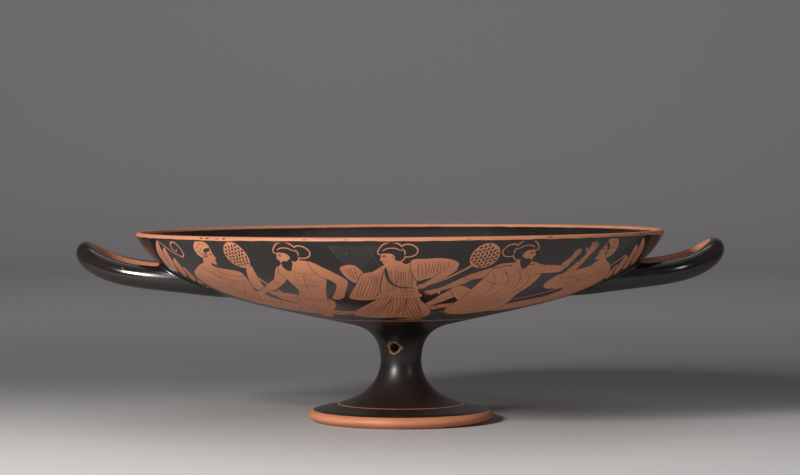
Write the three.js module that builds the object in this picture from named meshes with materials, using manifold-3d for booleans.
// Kylix: a wide, shallow drinking cup of fired clay on a stemmed foot, with two upswept loop handles.
// Millimetres, +Z up. The origin is on the standing surface, at the middle of the foot.
// +X runs from handle to handle. The cup was thrown and joined wet, and fired as one body.

import * as THREE from 'three';
import { mergeVertices } from 'three/addons/utils/BufferGeometryUtils.js';
import Module from 'manifold-3d';

const wasm = await Module();
wasm.setup();

// ---- Driving dimensions ------------------------------------------------------------------------

const BODY_SIDES = 64; // flats round everything that was turned on the wheel

// Turned profile, as [radius, height] pairs
const HOLLOW_TOP = 34; // height of the cone-shaped hollow under the foot
const RING_INNER = 46; // the foot rests on a flat ring between these radii
const RING_OUTER = 51.6;
const FOOT_TURN = [49.8, 8.1]; // where the foot's rounded edge meets its upper face
const STEM_RADIUS = 12.4;
const STEM_WAIST = 36.2; // height at which the stem is thinnest
const BOWL_START = [29.8, 59]; // where the stem's flare becomes the bowl
const BOWL_END = [159.5, 113.3]; // where the bowl becomes the lip
const LIP_RADIUS = 1.85; // half the lip's thickness
const WALL_AT_STEM = 7;
const FLOOR_HEIGHT = 62.8; // inside of the bowl, on the axis

// The bowl sits a little askew on its foot, lower at -X
const LEAN = THREE.MathUtils.degToRad(-0.36);
const LEAN_FROM = 36; // heights between which the stem takes up the lean
const LEAN_TO = 58;

// Handles: each loop is a rounded horseshoe, level near the bowl and swept up at the tip
const HANDLE_SIDES = 14;
const HANDLE_STEPS = 34;
const LOOP_START = 116.9; // where the limbs begin to curve towards each other
const LOOP_TIP = 191; // centreline at the tip
const LOOP_HALF_WIDTH = 35.9; // centreline of each limb
const LOOP_SQUARENESS = 2.24; // 2 is an ellipse, more is squarer
const LOOP_HEIGHT = 86.7; // centreline at the start of the curve
const LIMB_INSET = 40; // straight length that runs back into the wall
const LIMB_SLOPE = 0.059;
const SWEEP_EVEN = 6.15; // rise spread over the whole loop
const SWEEP_TIP = 10.6; // further rise near the tip
const SWEEP_POWER = 5.4;
const SECTION_WIDTH = 5.8; // half width and half height of the roll of clay
const SECTION_HEIGHT = 6.85;
const ROOT_SWELL = 1.5; // added to both where a limb joins the bowl
const ROOT_SWELL_FROM = 110;
const ROOT_SWELL_OVER = 55;

// Flaked, drilled hole in the front of the stem
const HOLE_X = -4.3;
const HOLE_HEIGHT = 45.2;
const HOLE_RADIUS = 2.7;
const HOLE_DEPTH = 9;
const FLAKE_RADIUS = 4.3;
const FLAKE_DEPTH = 1.4;

// ---- Helpers -----------------------------------------------------------------------------------

const point = (pair) => new THREE.Vector2(pair[0], pair[1]);

function curve(from, control1, control2, to, steps) {
  const bezier = new THREE.CubicBezierCurve(point(from), point(control1), point(control2), point(to));
  return bezier.getPoints(steps);
}

// A closed geometry as a solid: shared corners merged, and the slivers on the axis dropped
function toSolid(geometry) {
  const bare = geometry.clone();
  bare.deleteAttribute('normal');
  bare.deleteAttribute('uv');
  const merged = mergeVertices(bare, 1e-4);
  const corners = merged.index.array;
  const kept = [];
  for (let i = 0; i < corners.length; i += 3) {
    const [a, b, c] = corners.slice(i, i + 3);
    if (a !== b && b !== c && c !== a) kept.push(a, b, c);
  }
  const mesh = new wasm.Mesh({
    numProp: 3,
    vertProperties: new Float32Array(merged.attributes.position.array),
    triVerts: new Uint32Array(kept),
  });
  return new wasm.Manifold(mesh);
}

function toGeometry(solid) {
  const mesh = solid.getMesh();
  const geometry = new THREE.BufferGeometry();
  geometry.setAttribute('position', new THREE.BufferAttribute(new Float32Array(mesh.vertProperties), 3));
  geometry.setIndex(new THREE.BufferAttribute(new Uint32Array(mesh.triVerts), 1));
  return geometry;
}

// Turns a [radius, height] profile about the Z axis
function turned(profile) {
  return toSolid(new THREE.LatheGeometry(profile, BODY_SIDES).rotateX(Math.PI / 2));
}

function moveCorners(geometry, move) {
  const positions = geometry.attributes.position;
  const corner = new THREE.Vector3();
  for (let i = 0; i < positions.count; i += 1) {
    move(corner.fromBufferAttribute(positions, i));
    positions.setXYZ(i, corner.x, corner.y, corner.z);
  }
  return geometry;
}

// ---- Turned body -------------------------------------------------------------------------------

const bowlOutside = new THREE.CubicBezierCurve(
  point(BOWL_START), point([87.9, 72.3]), point([141.5, 79.7]), point(BOWL_END),
);

// A point inside the wall: share 0 is the outer face and share 1 the inner face
function inWall(t, share) {
  const tangent = bowlOutside.getTangent(t);
  const inward = new THREE.Vector2(-tangent.y, tangent.x);
  const thickness = THREE.MathUtils.lerp(WALL_AT_STEM, 2 * LIP_RADIUS, t);
  return bowlOutside.getPoint(t).addScaledVector(inward, thickness * share);
}

function wallPoints(share, steps) {
  return Array.from({ length: steps + 1 }, (_, i) => inWall(1 - i / steps, share));
}

function lipPoints(steps) {
  const middle = inWall(1, 0.5);
  const edge = inWall(1, 0).sub(middle);
  const turn = (i) => edge.clone().rotateAround(new THREE.Vector2(), (Math.PI * i) / steps).add(middle);
  return Array.from({ length: steps - 1 }, (_, i) => turn(i + 1));
}

function floorPoints() {
  const rim = inWall(0, 1);
  return curve(rim.toArray(), [rim.x * 0.6, FLOOR_HEIGHT + 0.6], [rim.x * 0.3, FLOOR_HEIGHT],
    [0, FLOOR_HEIGHT], 3).slice(1);
}

function bodyProfile() {
  const hollow = curve([0, HOLLOW_TOP], [8, 14], [22, 6], [RING_INNER, 0], 6);
  const edge = curve([RING_OUTER, 0], [57.5, 2], [59.4, 5.8], FOOT_TURN, 5);
  const foot = curve(FOOT_TURN, [32.1, 11.1], [13.7, 16.9], [STEM_RADIUS, STEM_WAIST], 9);
  const neck = curve([STEM_RADIUS, STEM_WAIST], [STEM_RADIUS, 49.5], [18, 56.3], BOWL_START, 6);
  const outside = wallPoints(0, 11).reverse();
  const inside = wallPoints(1, 11);
  return [
    ...hollow, ...edge, ...foot.slice(1), ...neck.slice(1), ...outside.slice(1),
    ...lipPoints(5), ...inside, ...floorPoints(),
  ];
}

// Everything inside the middle of the wall, carried well above the rim: trims what is set on the wall
function insideOfWall() {
  const middle = wallPoints(0.5, 11);
  const above = new THREE.Vector2(middle[0].x, 160);
  const floor = new THREE.Vector2(0, middle[middle.length - 1].y);
  return turned([floor, ...middle.reverse(), above, new THREE.Vector2(0, above.y)]);
}

// ---- Handles -----------------------------------------------------------------------------------

// The centreline, from one limb's inner end round the tip to the other's, for t from 0 to 1
class HandleLine extends THREE.Curve {
  getPoint(t, target = new THREE.Vector3()) {
    const limbShare = 0.16; // share of t given to each straight limb
    const limb = Math.max(0, (limbShare - Math.min(t, 1 - t)) / limbShare);
    const side = Math.sign(t - 0.5);
    if (limb > 0) {
      const back = LIMB_INSET * limb;
      return target.set(LOOP_START - back, side * LOOP_HALF_WIDTH, LOOP_HEIGHT - LIMB_SLOPE * back);
    }
    const angle = ((t - 0.5) / (0.5 - limbShare)) * (Math.PI / 2);
    const power = 2 / LOOP_SQUARENESS;
    const along = Math.cos(angle) ** power;
    return target.set(
      LOOP_START + (LOOP_TIP - LOOP_START) * along,
      side * LOOP_HALF_WIDTH * Math.abs(Math.sin(angle)) ** power,
      LOOP_HEIGHT + SWEEP_EVEN * along + SWEEP_TIP * along ** SWEEP_POWER,
    );
  }
}

// A straight roll of clay bent along the centreline, with its section kept upright
function handle() {
  const line = new HandleLine();
  const roll = new THREE.CylinderGeometry(1, 1, 1, HANDLE_SIDES, HANDLE_STEPS);
  const up = new THREE.Vector3(0, 0, 1);
  moveCorners(roll, (corner) => {
    const t = corner.y + 0.5;
    const centre = line.getPoint(t);
    const tangent = line.getTangent(t);
    const across = new THREE.Vector3().crossVectors(up, tangent).normalize();
    const upright = new THREE.Vector3().crossVectors(tangent, across);
    const nearRoot = THREE.MathUtils.clamp(1 - (centre.x - ROOT_SWELL_FROM) / ROOT_SWELL_OVER, 0, 1);
    const swell = ROOT_SWELL * nearRoot ** 2;
    const { x, z } = corner;
    corner.copy(centre);
    corner.addScaledVector(across, z * (SECTION_WIDTH + swell));
    corner.addScaledVector(upright, x * (SECTION_HEIGHT + swell));
  });
  return toSolid(roll);
}

// ---- Damage and lean ---------------------------------------------------------------------------

function stemHole() {
  const face = -Math.sqrt(STEM_RADIUS ** 2 - HOLE_X ** 2);
  const inwards = new THREE.Vector3(-HOLE_X, -face, 0).normalize();
  const place = (geometry, depth) => {
    const middle = new THREE.Vector3(HOLE_X, face, HOLE_HEIGHT).addScaledVector(inwards, depth);
    const turn = new THREE.Quaternion().setFromUnitVectors(new THREE.Vector3(0, 1, 0), inwards);
    return toSolid(geometry.applyQuaternion(turn).translate(middle.x, middle.y, middle.z));
  };
  const bore = place(new THREE.CylinderGeometry(HOLE_RADIUS, HOLE_RADIUS, HOLE_DEPTH, 14), HOLE_DEPTH / 2);
  const flare = 2 * FLAKE_RADIUS - HOLE_RADIUS; // the flake's cone, carried on outside the stem
  const flake = place(new THREE.CylinderGeometry(HOLE_RADIUS, flare, 2 * FLAKE_DEPTH, 14), 0);
  return bore.add(flake);
}

function lean(corner) {
  const angle = LEAN * THREE.MathUtils.smoothstep(corner.z, LEAN_FROM, LEAN_TO);
  const height = corner.z - LEAN_FROM;
  const { x } = corner;
  corner.x = x * Math.cos(angle) + height * Math.sin(angle);
  corner.z = LEAN_FROM + height * Math.cos(angle) - x * Math.sin(angle);
}

// ---- The cup -----------------------------------------------------------------------------------

function cupGeometry() {
  const trimmed = handle().subtract(insideOfWall());
  const handles = trimmed.add(trimmed.rotate([0, 0, 180]));
  const cup = turned(bodyProfile()).add(handles).subtract(stemHole());
  return moveCorners(toGeometry(cup), lean);
}

const blackGloss = new THREE.MeshStandardMaterial({ color: 0x2a221e, roughness: 0.3, metalness: 0 });

const kylix = new THREE.Group();
const cup = new THREE.Mesh(cupGeometry(), blackGloss);
cup.name = 'cup';
kylix.add(cup);

export default kylix;
